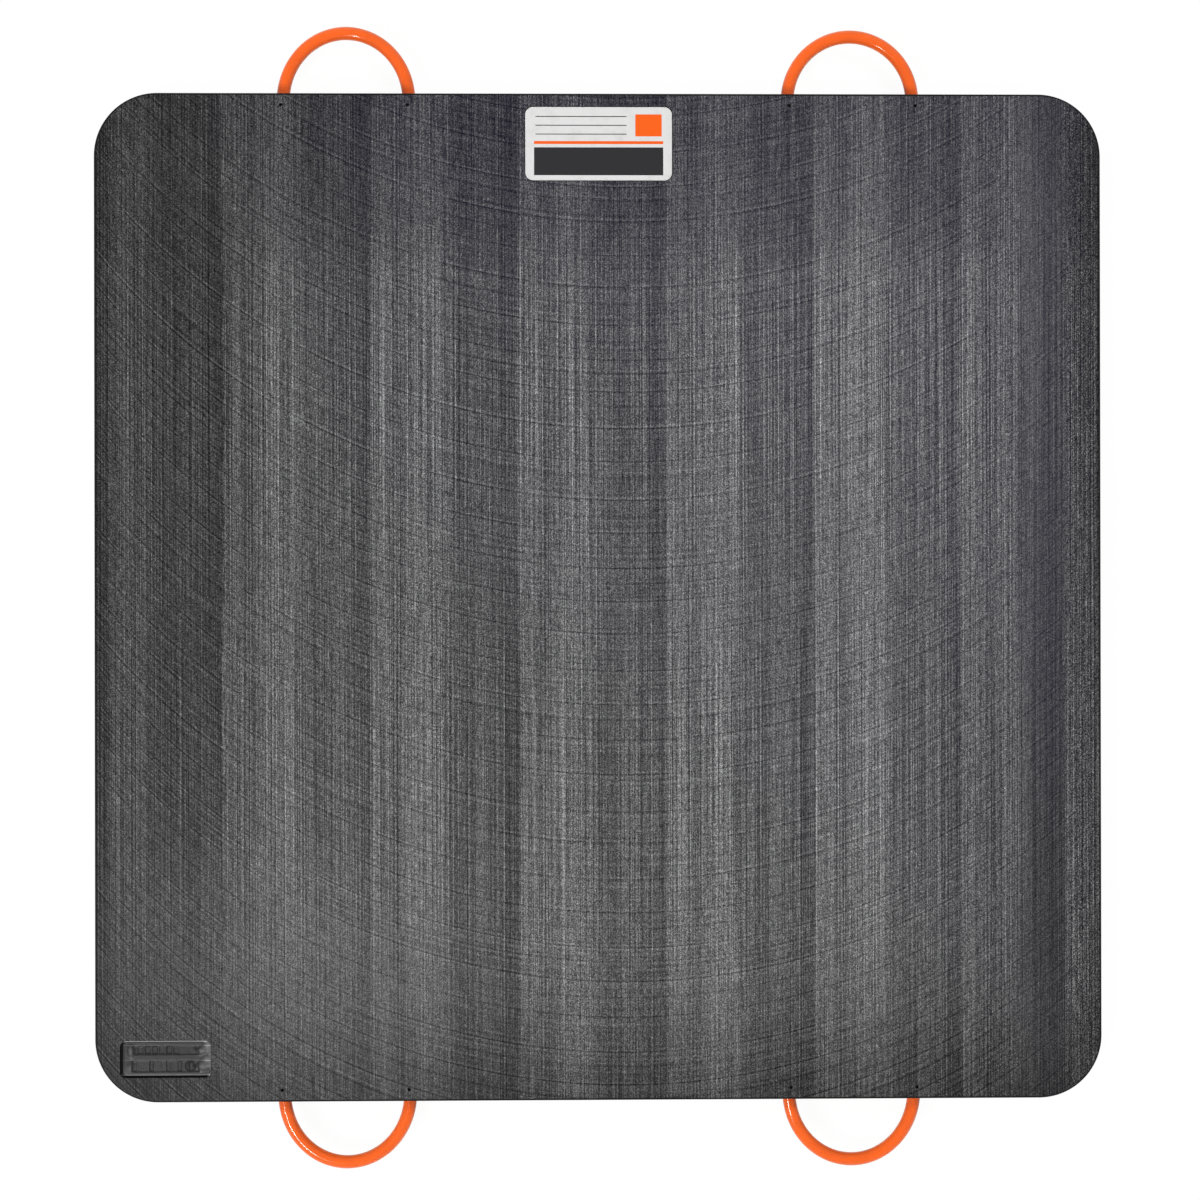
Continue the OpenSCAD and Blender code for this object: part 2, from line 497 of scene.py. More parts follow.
def border_level(f, pad, across, along, feathered_x):
    """Fall-off of the face's level towards its borders: partly the borders being smoother and darker than the
    middle, partly painted shade where the light falls off towards the sides.
    """
    border_x = f.ramp(f.scaled(feathered_x, 1 / pad.side, 0.5), [
        (0.0, 0.675), (0.045, 0.70), (0.06, 0.725), (0.1, 0.745), (0.122, 0.77), (0.16, 0.86),
        (0.22, 0.925), (0.4, 0.915), (0.5, 0.945), (0.72, 1.01), (0.845, 1.01), (0.905, 0.87),
        (0.924, 0.775), (0.95, 0.79), (0.97, 0.84), (1.0, 0.79),
    ])
    left_edge = f.ramp(across, [(0.0, 0.78), (0.02, 1.0)])
    border_y = f.ramp(along, [
        (0.0, 0.74), (0.04, 0.85), (0.10, 0.98), (0.17, 1.02), (0.40, 0.99), (0.70, 0.96), (0.82, 0.93),
        (0.87, 0.82), (0.95, 0.75), (1.0, 0.71),
    ])
    # Towards the right the face is paler at the rear and darker at the front
    right = f.ramp(across, [(0.6, 0.0), (0.7, 0.5), (0.85, 0.5), (0.92, 1.0), (0.96, 1.0), (0.97, 0.1)])
    slant = f.product(right, f.scaled(along, 0.34, -0.18))
    # The rear left corner and the ends of a strip near the right side are paler, the front left corner darker
    rear_left = f.product(
        f.ramp(along, [(0.82, 0.0), (0.92, 0.16)]), f.ramp(across, [(0.12, 1.0), (0.2, 0.0)])
    )
    strip_ends = f.product(
        f.ramp(along, [(0.05, 0.15), (0.14, 0.0), (0.83, 0.0), (0.88, 0.15)]),
        f.ramp(across, [(0.905, 0.0), (0.92, 1.0), (0.96, 1.0), (0.968, 0.0)]),
    )
    front_left = f.product(
        f.ramp(along, [(0.02, 0.16), (0.06, 0.0)]), f.ramp(across, [(0.05, 1.0), (0.09, 0.0)])
    )
    corners = f.math("SUBTRACT", f.sum(rear_left, strip_ends), front_left)
    return f.product(border_x, left_edge, border_y, f.sum(slant, corners, 1.0))


def arc_turns(f, pad):
    """Turns of the cutter up to a place: a count that rises by 1 from one deep arc to the next.

    The arcs are parts of circles, which move along y by about one pitch a turn.
    """
    off_middle = f.scaled(f.x, 1.0, -pad.arc_middle)
    drop = f.math("SQRT", f.math("SUBTRACT", pad.arc_radius**2, f.product(off_middle, off_middle)))
    even = f.scaled(f.sum(f.y, drop), 1 / pad.arc_pitch, ARC_PHASE - pad.arc_radius / pad.arc_pitch)
    return f.sum(even, f.centred(f.noise_line(even, 0.6), 0.3))


def skived_finish(pad):
    """The pad's broad faces, as a planer leaves them.

    The tone is a level times one plus a sum of textures and a part of that sum's square, so light fuzz stands
    out a little more than dark gaps. The level is that of the bands times the fall-off towards the borders,
    which is partly painted shade.
    across and along run from 0 to 1, from the left to the right and from the front to the rear.
    """
    f = Finish("skived_polymer")
    across = f.scaled(f.x, 1 / pad.side, 0.5)
    along = f.scaled(f.y, 1 / pad.side, 0.5)
    # Streaks, dashes and grain are fuzz that the knives raised, from long to short
    streaks = f.noise((1000.0, 2.0, 2.0), detail=0.0, shift=2.0)
    dashes = f.noise((800.0, 45.0, 45.0), detail=0.0, shift=9.0)
    grain = f.noise((900.0, 760.0, 760.0), roughness=0.6)
    feathered_x = feathered_place(f, pad, across, along, streaks, dashes)
    bands = band_level(f, pad, across, along, feathered_x)
    level = f.product(border_level(f, pad, across, along, feathered_x), f.scaled(bands, BAND_GAIN))
    # Lengthwise lines repeat with the bands
    lines = f.noise_line(f.scaled(band_phase(f, pad, f.x), pad.band_width), 450.0)
    fuzz = f.sum(
        f.centred(lines, 0.5), f.centred(streaks, 1.14), f.centred(dashes, 0.55), f.centred(grain, 2.5)
    )
    # The fuzz is weaker at the front left and in a strip near the right side
    calm = f.math(
        "MAXIMUM", f.ramp(along, [(0.12, 0.75), (0.42, 1.0)]), f.ramp(across, [(0.3, 0.75), (0.5, 1.0)])
    )
    raised = f.ramp(across, [
        (0.1, 0.92), (0.35, 0.96), (0.75, 0.86), (0.912, 0.92), (0.922, 0.7), (0.96, 0.7), (0.968, 1.2),
    ])
    # Each turn of the cutter leaves one deep arc and one shallow one, and several faint ones. Just rearward
    # of
    # each deep and shallow arc is a pale lip: painted highlight where the groove's far wall faces the light.
    # They show best where the face is smooth
    turns = arc_turns(f, pad)
    deep = f.ramp(f.math("FRACT", turns), [
        (0.0, 1.0), (0.010, 0.8), (0.022, 0.3), (0.05, 0.15), (0.09, 0.22), (0.14, 0.4), (0.22, 0.3),
        (0.53, 0.3), (0.56, 0.6), (0.6, 0.34), (0.66, 0.18), (0.72, 0.32), (0.8, 0.22), (0.92, 0.2),
        (0.978, 0.3), (0.99, 0.8), (1.0, 1.0),
    ])
    faint = f.noise_line(turns, 11.0)
    blotches = f.noise((9.0, 30.0, 9.0), detail=2.0, roughness=0.6, shift=11.0)
    patches = f.ramp(blotches, [(0.36, 0.6), (0.56, 1.0)], smooth=True)
    shown = f.product(
        f.ramp(across, [(0.2, 1.45), (0.4, 1.45), (0.86, 1.4), (0.93, 0.7)]),
        f.ramp(along, [(0.8, 1.2), (0.92, 0.8)]),
    )
    evenness = f.product(f.math("MAXIMUM", f.scaled(level, -1.3, 1.55), 0.35), patches)
    marks = f.sum(f.scaled(deep, 0.75, -0.225), f.centred(faint, 0.4))
    cuts = f.product(marks, f.product(evenness, shown))
    texture = f.math("SUBTRACT", f.product(fuzz, f.product(calm, raised)), cuts)
    contrast = f.math("MULTIPLY_ADD", f.scaled(texture, 0.3, 1.0), texture, 1.0)
    tone = f.product(f.scaled(level, pad.tone), contrast)
    # The grey is neutral at the front left, and its cool cast, a painted bluish reflection, grows towards the
    # rear right
    rearward = f.ramp(
        f.scaled(f.math("MULTIPLY_ADD", across, 0.8, along), 0.5),
        [(0.3, 0.0), (0.37, 0.15), (0.43, 0.3), (0.5, 0.48), (0.55, 0.75), (0.61, 0.9), (0.7, 1.0)],
    )
    cool = f.product(
        rearward, f.ramp(across, [(0.1, 0.2), (0.3, 1.0), (0.95, 1.0), (0.985, 0.5), (1.0, 0.2)])
    )
    cast = f.blend(cool, (0, 0, 0), pad.cast)
    f.fill(f.shader, {
        "Base Color": f.grey(tone, cast, pad.sheen),
        "Roughness": f.scaled(level, 0.3, 0.3),
        "Specular IOR Level": 0.05,
    })
    f.bump(f.math("SUBTRACT", f.sum(lines, grain), deep), distance=0.0002, strength=0.4)
    return f.material


def milled_finish(pad):
    """The pad's rim and holes: a router's fine level lines, upright chatter marks and round-overs darkened
    with painted shade.
    """
    f = Finish("milled_polymer")
    lines = f.noise((14.0, 14.0, 1900.0), detail=2.0, roughness=0.6)
    chatter = f.noise((330.0, 330.0, 12.0), shift=4.0)
    fuzz = f.noise((900.0, 900.0, 900.0), shift=8.0)
    texture = f.sum(f.centred(lines, 0.55), f.centred(chatter, 0.25), f.centred(fuzz, 0.25), 1.0)
    edge = pad.edge_radius / pad.thickness
    # Painted shade: the round-overs at the bottom and top are darker than the upright wall
    upright = f.ramp(
        f.scaled(f.z, 1 / pad.thickness),
        [(0.0, 0.4), (edge, 0.7), (2 * edge, 1.0), (1 - 2 * edge, 1.0), (1 - edge, 0.5), (1.0, 0.4)],
    )
    middle_tone = 0.45 * pad.tone
    f.fill(f.shader, {
        "Base Color": f.grey(f.product(f.scaled(texture, middle_tone), upright)),
        "Roughness": f.scaled(lines, 0.3, 0.32),
        "Specular IOR Level": 0.12,
    })
    f.bump(f.sum(lines, f.scaled(chatter, 0.5)), distance=0.0002, strength=0.5)
    return f.material


def pressed_finish(pad):
    """Plastic that was melted under a hot tool.

    It is smooth and dark. Painted shade darkens the left and front walls, and painted highlight lights a
    ridge at the front, the rear edges of the sunk rows and the rear wall. Higher plastic is paler: partly
    pale plastic that flowed up, partly painted light on the heaps. Places are counted from the left and front
    walls, in recess heights.
    """
    f = Finish("pressed_polymer")
    flow = f.noise((260.0, 420.0, 300.0), detail=2.0, roughness=0.6)
    corner = -pad.side / 2 + pad.recess_margin
    from_left = f.scaled(f.x, 1 / pad.recess_height, -corner / pad.recess_height)
    from_front = f.scaled(f.y, 1 / pad.recess_height, -corner / pad.recess_height)
    # Painted shade on the left wall
    left = f.ramp(from_left, [(0.04, 0.12), (0.14, 0.5)])
    # Along y: painted shade on the front wall, painted highlights along the front ridge, the rows' rear edges
    # and the rear wall, and the floor's level between them
    front = f.ramp(from_front, [
        (0.03, 0.15), (0.045, 0.22), (0.064, 1.15), (0.09, 0.9), (0.13, 0.47), (0.45, 0.47),
        (0.468, 0.78), (0.486, 0.47), (0.855, 0.47), (0.873, 0.78), (0.89, 0.45), (0.97, 0.44),
        (0.99, 1.0),
    ])
    deepest = pad.recess_depth + pad.row_depth
    from_floor = f.scaled(f.z, 1 / deepest, 1 - pad.thickness / deepest)
    # Higher plastic is paler: partly pale plastic that flowed up, partly painted light on the lit heaps
    raised = f.ramp(from_floor, [(0.0, 0.85), (0.28, 1.0), (0.45, 1.35), (0.75, 1.8)])
    place = f.product(left, front, f.scaled(raised, 4.0))
    texture = f.sum(f.centred(flow, 0.3), 1.0)
    middle_tone = 0.6 * pad.tone
    tone = f.product(f.scaled(texture, middle_tone), place)
    f.fill(f.shader, {
        "Base Color": f.grey(tone, sheen=pad.sheen),
        "Roughness": f.scaled(flow, 0.3, 0.2),
        "Specular IOR Level": 0.07,
    })
    f.bump(flow, distance=0.0002, strength=0.4)
    return f.material


def cord_finish(handles):
    """Glossy extruded cord: faint lengthwise lines, soft mottling, and pale rims where it is seen edge on."""
    f = Finish("cord_polyurethane")
    chart = f.add("ShaderNodeTexCoord").outputs["UV"]
    around = f.add("ShaderNodeSeparateXYZ", {"Vector": chart}).outputs["X"]
    lines = f.noise_line(around, 700.0, detail=1.0)
    mottle = f.noise((30.0, 30.0, 30.0), detail=2.0, shift=7.0)
    deep = tuple(0.92 * level for level in handles.colour)
    f.fill(f.shader, {
        "Base Color": f.blend(f.ramp(mottle, [(0.35, 0.0), (0.65, 1.0)], smooth=True), deep, handles.colour),
        "Roughness": f.scaled(mottle, 0.06, 0.1),
        "Specular IOR Level": 0.2,
        "Sheen Weight": 0.8,
        "Sheen Roughness": 0.47,
        "Sheen Tint": (1.0, 0.7, 0.5, 1),
    })
    f.bump(lines, distance=0.0001, strength=0.06)
    return f.material


def pin_finish():
    """Plain steel pins, dulled, and coloured near black: painted shade of the deep holes that they sit in."""
    f = Finish("pin_steel")
    turning = f.noise((500.0, 500.0, 2500.0), detail=2.0, roughness=0.6)
    share = f.ramp(turning, [(0.35, 0.0), (0.65, 1.0)])
    f.fill(f.shader, {
        # The near-black steel is painted shade of the holes
        "Base Color": f.blend(share, (0.03, 0.03, 0.033), (0.07, 0.07, 0.073)),
        "Roughness": f.scaled(turning, 0.3, 0.35),
        "Metallic": 1.0,
    })
    f.bump(turning, distance=0.00005, strength=0.4)
    return f.material


def printed_field(f, across, along, width, height):
    """1 inside a level rectangle on the label and 0 outside it, from its centre and its size.

    Both are shares of the label's size, and the centre is counted from the label's middle.
    """
    off_x = f.math("ABSOLUTE", f.scaled(f.x, 1.0, -label_middle.x - across * label_width))
    off_y = f.math("ABSOLUTE", f.scaled(f.y, 1.0, -label_middle.y - along * label_height))
    inside_x = f.math("LESS_THAN", off_x, width * label_width / 2)
    inside_y = f.math("LESS_THAN", off_y, height * label_height / 2)
    return f.product(inside_x, inside_y)


def label_finish(label):
    """A satin plate with a plain printed layout: a dark band, bright fields and lines to write on."""
    f = Finish("label_plate")
    band = printed_field(f, across=0.0, along=-0.24, width=0.88, height=0.38)
    lines = [
        printed_field(f, across=-0.12, along=along, width=0.62, height=0.012) for along in (0.13, 0.25, 0.37)
    ]
    rule = printed_field(f, across=0.0, along=0.015, width=0.88, height=0.04)
    tab = printed_field(f, across=0.34, along=0.25, width=0.18, height=0.30)
    dark = f.chain("MAXIMUM", [band, *lines])
    bright = f.math("MAXIMUM", rule, tab)
    soil = f.noise((60.0, 60.0, 60.0), detail=4.0, roughness=0.6)
    worn = f.blend(f.ramp(soil, [(0.45, 0.0), (0.75, 0.35)], smooth=True), label.face, label.soil)
    f.fill(f.shader, {
        "Base Color": f.blend(bright, f.blend(dark, worn, label.ink), label.accent),
        "Roughness": f.scaled(soil, 0.3, 0.25),
        "Specular IOR Level": 0.2,
    })
    f.bump(f.noise((1500.0, 1500.0, 1500.0)), distance=0.00003, strength=0.3)
    return f.material


# Pieces


def slab_piece(pad):
    """The bare slab: its rim's profile carried round a square with rounded corners."""
    edge = pad.edge_radius
    flat = 2 * edge
    below = round_over(edge, edge, edge, start=-QUARTER_TURN, steps=10)
    above = round_over(edge, pad.thickness - edge, edge, start=0.0, steps=10)
    profile = [(flat, 0.0), *below, *above, (flat, pad.thickness)]
    rings = plate_rings(pad.side, pad.side, pad.corner_radius, profile, steps=40)
    points, faces = closed_rings(rings)
    slab = new_object("pad_slab", points, faces)
    # The first and last two rows of quads are flat, and the caps are the last two faces
    flat_rows = 2 * rings.shape[1]
    slot = np.full(len(faces), RIM_SLOT)
    slot[:flat_rows] = FACE_SLOT
    slot[-2 - flat_rows :] = FACE_SLOT
    slab.data.polygons.foreach_set("material_index", slot)
    return slab


def bore_profile(radius, floor, mouth, chamfer):
    """Radius and height of a blind bore whose chamfered mouth goes on past the face."""
    flare = 2 * chamfer
    return [(radius, floor), (radius, mouth - chamfer), (radius + flare, mouth + flare - chamfer)]


def leg_bores(pad, handles):
    """Blind bores for the handles' legs: a turned profile laid along y."""
    radius = handles.diameter / 2 + pad.bore_clearance
    floor = handle_low.y if handle_low.y > 0 else -handle_high.y
    upright = turned_rings(bore_profile(radius, floor, pad.side / 2, pad.bore_chamfer), steps=64)
    x, y, z = np.moveaxis(upright, -1, 0)
    parts = []
    for across, side in leg_places():
        lying = np.stack([side * x + across, side * z, cord_height() - y], axis=-1)
        parts.append(closed_rings(lying))
    return new_object("leg_bores", *stacked(parts))


def pin_holes(pad, pins):
    """Upright holes over the pins, with a small chamfer at the top face."""
    radius = pins.diameter / 2 + pins.hole_clearance
    profile = bore_profile(radius, pins_low.z, pad.thickness, pins.chamfer)
    return new_object("pin_holes", *turned_set(profile, steps=32, places=pin_places(pins)))


def label_sized(name, corner, profile, gap=0.0):
    """A profile carried round the label's outline, or round one that is larger by a gap on every side."""
    rings = plate_rings(label_width + 2 * gap, label_height + 2 * gap, corner + gap, profile, steps=16)
    return new_object(name, *closed_rings(rings + np.array([label_middle.x, label_middle.y, 0.0])))


def label_pocket(pad, label):
    """The milled pocket: a plate a little larger than the label, with a slight chamfer at the top face."""
    gap = pad.pocket_clearance
    lip = 0.5 * gap
    top = pad.thickness
    profile = [(0.0, label_low.z), (0.0, top - lip), (-2 * lip, top + lip)]
    return label_sized("label_pocket", label.corner_radius, profile, gap)


def wall_rise(pad, x, y, inside):
    """Share of the recess's depth that its hollow wall has fallen to at a distance inside the outline.

    The wall is wider at the left end, and widest at the right end, but not in its front corner. Outside the
    outline it goes on above the face.
    """
    left_reach, right_reach = 0.012, 0.014
    front_corner = (-0.014, -0.006)
    width, wider_left, wider_right = 0.0026, 0.0014, 0.0060
    half_width = pad.recess_width / 2
    left_end = smooth_step(-half_width + left_reach, -half_width, x)
    right_end = smooth_step(half_width - right_reach, half_width, x) * smooth_step(*front_corner, y)
    wall = width + wider_left * left_end + wider_right * right_end
    return np.where(inside > 0, 1 - (1 - np.clip(inside / wall, 0, 1)) ** 2, 2 * inside / wall)


def row_depth(pad, row, x, y, generator):
    """Extra depth of one sunk row and of its blank cells, some of which are deeper than others.

    A cell is where the distances to its four sides are all positive.
    """
    inset = 0.0135
    side_gap, end_gap = 0.0008, 0.0014
    row_wall, cell_wall = 0.0012, 0.0008
    deepest, unused_share = 0.0006, 0.25
    draws = 64
    from_middle = y - row.middle
    in_row = rounded_distance(x, from_middle, pad.recess_width / 2 - inset, row.height / 2, corner=0.002)
    cell = np.floor(x / row.pitch).astype(int)
    beside = (x / row.pitch - cell - 0.5) * row.pitch
    half_cell, half_height = row.pitch / 2 - side_gap, row.height / 2 - end_gap
    in_cell = rounded_distance(beside, from_middle, half_cell, half_height, corner=0.001)
    pressed = generator.uniform(0.0, deepest, draws)
    used = generator.uniform(0, 1, draws) > unused_share
    extra = (pressed * used)[cell % draws]
    floor = 0.6 * pad.row_depth + extra * smooth_step(0.0, cell_wall, in_cell)
    return smooth_step(0.0, row_wall, in_row) * floor


def pressed_depth(pad, x, y):
    """Depth of the pressed recess below the face, from its own middle.

    A hollow wall falls from the outline to the floor. The floor has two deeper rows of blank cells, a round
    cell with a raised middle, a trough along the front wall, and heaps of plastic at the rows' ends.
    """
    ring_x, ring_y = 0.0300, -0.0082
    ring_depth, hub_height, trough_depth = 0.0005, 0.0004, 0.0009
    trough_start, trough_end = 0.0060, 0.0024
    half_width, half_height = pad.recess_width / 2, pad.recess_height / 2
    inside = rounded_distance(x, y, half_width, half_height, pad.recess_corner)
    depth = pad.recess_depth * wall_rise(pad, x, y, inside)
    generator = np.random.default_rng(4)
    for row in ROWS:
        depth = depth + row_depth(pad, row, x, y, generator)
    from_ring = np.hypot(x - ring_x, y - ring_y)
    ring = ring_depth * smooth_step(0.0068, 0.0058, from_ring)
    hub = hub_height * smooth_step(0.0048, 0.0038, from_ring)
    depth = depth + ring - hub
    trough = smooth_step(-half_height + trough_start, -half_height + trough_end, y)
    depth = depth + trough_depth * trough * smooth_step(0.0, trough_end, inside)
    within = smooth_step(0.0, 0.0020, inside)
    for heap in HEAPS:
        depth = depth - within * heap.height * mound(x, y, heap.x, heap.y, heap.reach_x, heap.reach_y)
    return depth


def pressed_recess(pad):
    """The pressed recess as a solid: a grid with its height below the face, and a lid and skirt above it."""
    spill = 0.0015
    step = 0.0006
    lid = pad.thickness + 0.01
    half_width, half_height = pad.recess_width / 2 + spill, pad.recess_height / 2 + spill
    across = np.linspace(-half_width, half_width, round(2 * half_width / step))
    along = np.linspace(-half_height, half_height, round(2 * half_height / step))
    x, y = np.meshgrid(across, along)
    middle_x = -pad.side / 2 + pad.recess_margin + pad.recess_width / 2
    middle_y = -pad.side / 2 + pad.recess_margin + pad.recess_height / 2
    z = pad.thickness - pressed_depth(pad, x, y)
    floor = np.stack([x + middle_x, y + middle_y, z], axis=-1)
    cover = np.stack([x + middle_x, y + middle_y, np.full_like(z, lid)], axis=-1)
    rows, columns = x.shape
    quads = grid_quads(rows, columns, closed=False)
    index = np.arange(rows * columns).reshape(rows, columns)
    border = np.concatenate([index[0], index[1:, -1], index[-1, -2::-1], index[-2:0:-1, 0]])
    over = border + rows * columns
    skirt = np.stack([border, np.roll(border, -1), np.roll(over, -1), over], axis=-1)
    points = np.concatenate([floor.reshape(-1, 3), cover.reshape(-1, 3)])
    faces = np.concatenate([quads[:, ::-1], quads + rows * columns, skirt]).tolist()
    return new_object("pressed_recess", points, faces)


def cut(piece, cutter, slot):
    """Takes a cutter out of a piece; the new faces get the piece's finish of that slot."""
    for material in piece.data.materials:
        cutter.data.materials.append(material)
    cutter.data.polygons.foreach_set("material_index", np.full(len(cutter.data.polygons), slot))
    modifier = piece.modifiers.new("cut", "BOOLEAN")
    modifier.operation = "DIFFERENCE"
    modifier.solver = "EXACT"
    modifier.object = cutter
    bpy.context.view_layer.update()
    view = piece.evaluated_get(bpy.context.evaluated_depsgraph_get())
    before = piece.data
    piece.data = bpy.data.meshes.new_from_object(view)
    piece.modifiers.clear()
    bpy.data.meshes.remove(before)
    bpy.data.meshes.remove(cutter.data)


def cord_path(low, high, handles, pushed_in):
    """Centre line of one handle: two straight legs and a half ellipse, in the plane of the cord's middle."""
    loop_points = 97
    leg_points = 7
    radius = handles.diameter / 2
    middle = (low.x + high.x) / 2
    half_span = (high.x - low.x) / 2 - radius
    bend = pad_high.y - handles.bend_inset
    reach = max(abs(low.y), abs(high.y)) - radius - bend - pushed_in
    leg_end = min(abs(low.y), abs(high.y))
    turn = np.linspace(0, math.pi, loop_points)
    loop = np.stack([half_span * np.cos(turn), bend + reach * np.sin(turn)], axis=-1)
    leg = np.linspace(leg_end, bend, leg_points + 1)[:-1]
    right = np.stack([np.full_like(leg, half_span), leg], axis=-1)
    left = np.stack([np.full_like(leg, -half_span), leg[::-1]], axis=-1)
    flat = np.concatenate([right, loop, left]) * handle_side(high)
    return flat + np.array([middle, 0.0])


def cord_piece(name, low, high, handles, pushed_in):
    """One handle: a circle carried along its path, each ring at right angles to it.

    A ring's points are the path's point plus the radius times the cosine along the path's normal and the
    sine along z. The piece's own map holds the lengths round the cord and along it.
    """
    path = cord_path(low, high, handles, pushed_in)
    radius = handles.diameter / 2
    around = 48
    slope = np.gradient(path, axis=0)
    slope /= np.linalg.norm(slope, axis=1, keepdims=True)
    normal = np.stack([slope[:, 1], -slope[:, 0]], axis=-1)
    turn = np.linspace(0, 2 * math.pi, around, endpoint=False)
    flat = path[:, None] + radius * np.cos(turn)[None, :, None] * normal[:, None]
    height = np.broadcast_to(cord_height() + radius * np.sin(turn), flat.shape[:2])
    rings = np.concatenate([flat, height[..., None]], axis=-1)
    points, faces = closed_rings(rings)
    cord = new_object(name, points, faces)
    steps = np.linalg.norm(np.diff(path, axis=0), axis=1)
    along = np.concatenate([[0.0], np.cumsum(steps)])
    quads = grid_quads(len(path), around, closed=True)
    row = quads // around
    column = quads % around
    column[:, 1:3] = column[:, [0]] + 1
    chart = np.zeros((len(cord.data.loops), 2))
    chart[: quads.size, 0] = (column * 2 * math.pi * radius / around).ravel()
    chart[: quads.size, 1] = along[row].ravel()
    cord.data.uv_layers.new(name="cord_map").data.foreach_set("uv", chart.ravel())
    return cord


class PieceOperator:
    """What the pieces' operators have in common."""

    bl_options = {"REGISTER", "UNDO"}


class OUTRIGGER_OT_pad(PieceOperator, bpy.types.Operator):
    """Build the slab with its bores, pin holes, label pocket and pressed recess"""

    bl_idname = "outrigger.pad"
    bl_label = "Pad"

    def execute(self, context):
        pad = context.scene.outrigger_pad
        slab = slab_piece(pad)
        for finish in (skived_finish(pad), milled_finish(pad), pressed_finish(pad)):
            slab.data.materials.append(finish)
        cut(slab, leg_bores(pad, context.scene.outrigger_handles), RIM_SLOT)
        cut(slab, pin_holes(pad, context.scene.outrigger_pins), RIM_SLOT)
        cut(slab, label_pocket(pad, context.scene.outrigger_label), RIM_SLOT)
        cut(slab, pressed_recess(pad), PRESSED_SLOT)
        finish_piece(slab, "pad_polymer", "pad")
        return {"FINISHED"}


class OUTRIGGER_OT_handles(PieceOperator, bpy.types.Operator):
    """Build the four cord handles"""

    bl_idname = "outrigger.handles"
    bl_label = "Handles"

    def execute(self, context):
        handles = context.scene.outrigger_handles
        finish = cord_finish(handles)
        for name, pushed_in in zip(HANDLES, handles.pushed_in):
            cord = cord_piece(name.replace("handle", "cord"), *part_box(name), handles, pushed_in)
            cord.data.materials.append(finish)
            finish_piece(cord, "handle_cord", name)
        return {"FINISHED"}


class OUTRIGGER_OT_pins(PieceOperator, bpy.types.Operator):
    """Build the pins that hold the handles"""

    bl_idname = "outrigger.pins"
    bl_label = "Pins"

    def execute(self, context):
        pins = context.scene.outrigger_pins
        radius = pins.diameter / 2
        narrow = radius - pins.chamfer
        low, high = pins_low.z, pins_high.z
        profile = [(narrow, low), (radius, low + pins.chamfer), (radius, high - pins.chamfer), (narrow, high)]
        group = new_object("pins", *turned_set(profile, steps=32, places=pin_places(pins)))
        group.data.materials.append(pin_finish())
        finish_piece(group, "pin_steel", "retaining_pins")
        return {"FINISHED"}


class OUTRIGGER_OT_label(PieceOperator, bpy.types.Operator):
    """Build the label plate in its pocket"""

    bl_idname = "outrigger.label"
    bl_label = "Label"

    def execute(self, context):
        label = context.scene.outrigger_label
        edge = label.edge_radius
        top = label_high.z
        above = round_over(edge, top - edge, edge, start=0.0, steps=5)
        profile = [(0.0, label_low.z), *above, (3 * edge, top)]
        plate = label_sized("label_plate", label.corner_radius, profile)
        plate.data.materials.append(label_finish(label))
        finish_piece(plate, "label_face", "label")
        return {"FINISHED"}


def floor_finish():
    """A white floor that keeps a light shadow: mostly its own white, and partly the light that falls on it.

    From below it is clear.
    """
    material = bpy.data.materials.new("floor_white")
    material.use_nodes = True
    nodes = NodeTree(material.node_tree)
    nodes.tree.nodes.clear()
    lit = nodes.add("ShaderNodeBsdfDiffuse", {"Color": (0.8, 0.8, 0.8, 1)})
    shadowed = nodes.add("ShaderNodeBsdfDiffuse", {"Color": (0.06, 0.06, 0.06, 1)})
    white = nodes.add("ShaderNodeEmission", {"Strength": 0.955})
    seen = nodes.add("ShaderNodeAddShader", {0: shadowed.outputs[0], 1: white.outputs[0]})
    above = nodes.mix(nodes.seen_directly(), lit.outputs[0], seen.outputs[0])
    clear = nodes.add("ShaderNodeBsdfTransparent")
    from_below = nodes.add("ShaderNodeNewGeometry").outputs["Backfacing"]
    surface = nodes.mix(from_below, above, clear.outputs[0])
    nodes.add("ShaderNodeOutputMaterial", {"Surface": surface})
    return material


def make_sky(stage):
    """A white surround that is seen as white and lights the pad more softly."""
    world = bpy.data.worlds.new("studio")
    world.use_nodes = True
    nodes = NodeTree(world.node_tree)
    lit = nodes.fill(nodes.tree.nodes["Background"], {"Color": WHITE, "Strength": stage.sky_strength})
    seen = nodes.add("ShaderNodeBackground", {"Color": WHITE})
    surface = nodes.mix(nodes.seen_directly(), lit.outputs[0], seen.outputs[0])
    nodes.fill(nodes.tree.nodes["World Output"], {"Surface": surface})
    bpy.context.scene.world = world


def add_lamp(name, place, size, power):
    """A square soft lamp at a place, aimed at the pad's middle."""
    lamp = bpy.data.lights.new(name, "AREA")
    lamp.size = size
    lamp.energy = power
    thing = bpy.data.objects.new(name, lamp)
    thing.location = place
    thing.rotation_euler = (-Vector(place)).to_track_quat("-Z", "Y").to_euler()
    bpy.context.scene.collection.objects.link(thing)
    return thing


def add_camera(stage):
    """A camera that looks almost straight down on the pad."""
    view = bpy.data.cameras.new("view")
    view.lens = stage.lens
    camera = bpy.data.objects.new("view", view)
    camera.location = (*CAMERA_PLACE, stage.camera_height)
    camera.rotation_euler = [math.radians(angle) for angle in CAMERA_DEGREES]
    bpy.context.scene.collection.objects.link(camera)
    bpy.context.scene.camera = camera


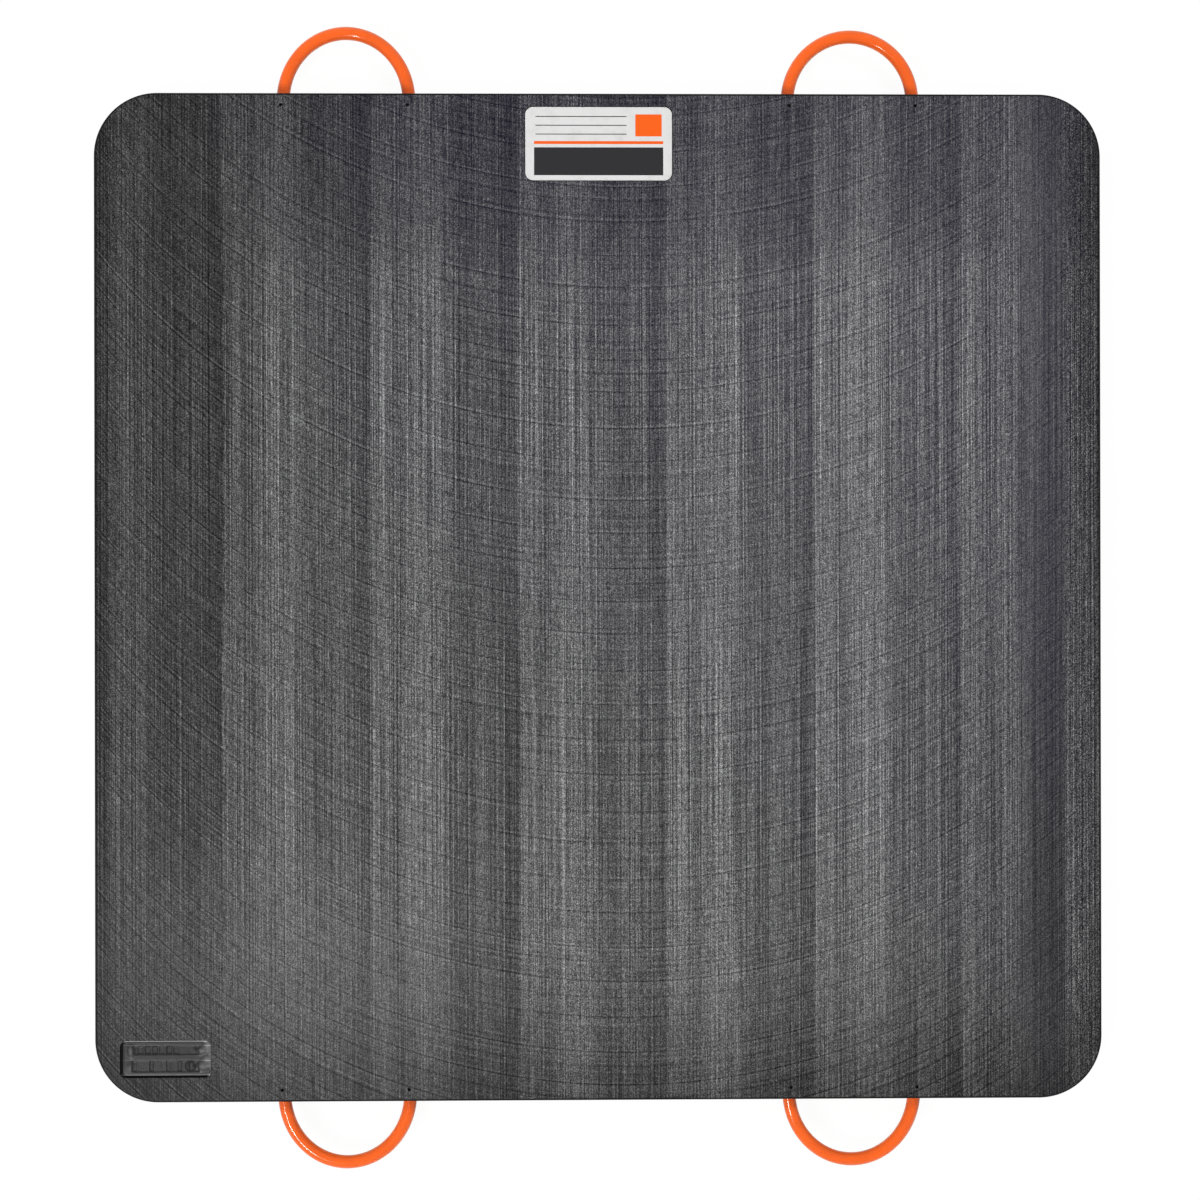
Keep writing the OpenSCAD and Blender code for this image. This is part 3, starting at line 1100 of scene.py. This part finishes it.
class OUTRIGGER_OT_stage(bpy.types.Operator):
    """Build the floor, the light and the camera"""

    bl_idname = "outrigger.stage"
    bl_label = "Stage"

    def execute(self, context):
        stage = context.scene.outrigger_stage
        reach = stage.floor_size / 2
        ground = -stage.floor_gap
        corners = [(x * reach, y * reach, ground) for x, y in ((-1, -1), (1, -1), (1, 1), (-1, 1))]
        floor = new_object("floor", corners, [[0, 1, 2, 3]])
        floor.data.materials.append(floor_finish())
        make_sky(stage)
        key = add_lamp("key_lamp", place=(-4.2, -3.6, 6.0), size=2.4, power=stage.key_power)
        fill = add_lamp("fill_lamp", place=(2.6, 4.4, 6.0), size=2.4, power=stage.fill_power)
        glint = add_lamp("glint_lamp", place=(-1.0, -1.4, 2.0), size=0.5, power=stage.glint_power)
        key.visible_glossy = False
        fill.visible_glossy = False
        glint.visible_diffuse = False
        add_camera(stage)
        context.scene.view_settings.view_transform = "Standard"
        return {"FINISHED"}


class OUTRIGGER_PT_panel(bpy.types.Panel):
    """Lists the pieces and their sizes and colours"""

    bl_idname = "OUTRIGGER_PT_panel"
    bl_label = "Outrigger pad"
    bl_space_type = "VIEW_3D"
    bl_region_type = "UI"
    bl_category = "Outrigger pad"

    def draw(self, context):
        for name, (kind, operator) in PARTS.items():
            column = self.layout.column()
            column.operator(operator.bl_idname)
            group = getattr(context.scene, name)
            for setting in kind.__annotations__:
                column.prop(group, setting)


PARTS = {
    "outrigger_pad": (PadProperties, OUTRIGGER_OT_pad),
    "outrigger_handles": (HandleProperties, OUTRIGGER_OT_handles),
    "outrigger_pins": (PinProperties, OUTRIGGER_OT_pins),
    "outrigger_label": (LabelProperties, OUTRIGGER_OT_label),
    "outrigger_stage": (StageProperties, OUTRIGGER_OT_stage),
}


def register():
    for name, (group, operator) in PARTS.items():
        bpy.utils.register_class(group)
        setattr(bpy.types.Scene, name, bpy.props.PointerProperty(type=group))
        bpy.utils.register_class(operator)
    bpy.utils.register_class(OUTRIGGER_PT_panel)


def unregister():
    bpy.utils.unregister_class(OUTRIGGER_PT_panel)
    for name, (group, operator) in PARTS.items():
        bpy.utils.unregister_class(operator)
        delattr(bpy.types.Scene, name)
        bpy.utils.unregister_class(group)


def main():
    register()
    bpy.ops.outrigger.pad()
    bpy.ops.outrigger.handles()
    bpy.ops.outrigger.pins()
    bpy.ops.outrigger.label()
    bpy.ops.outrigger.stage()


if __name__ == "__main__":
    main()
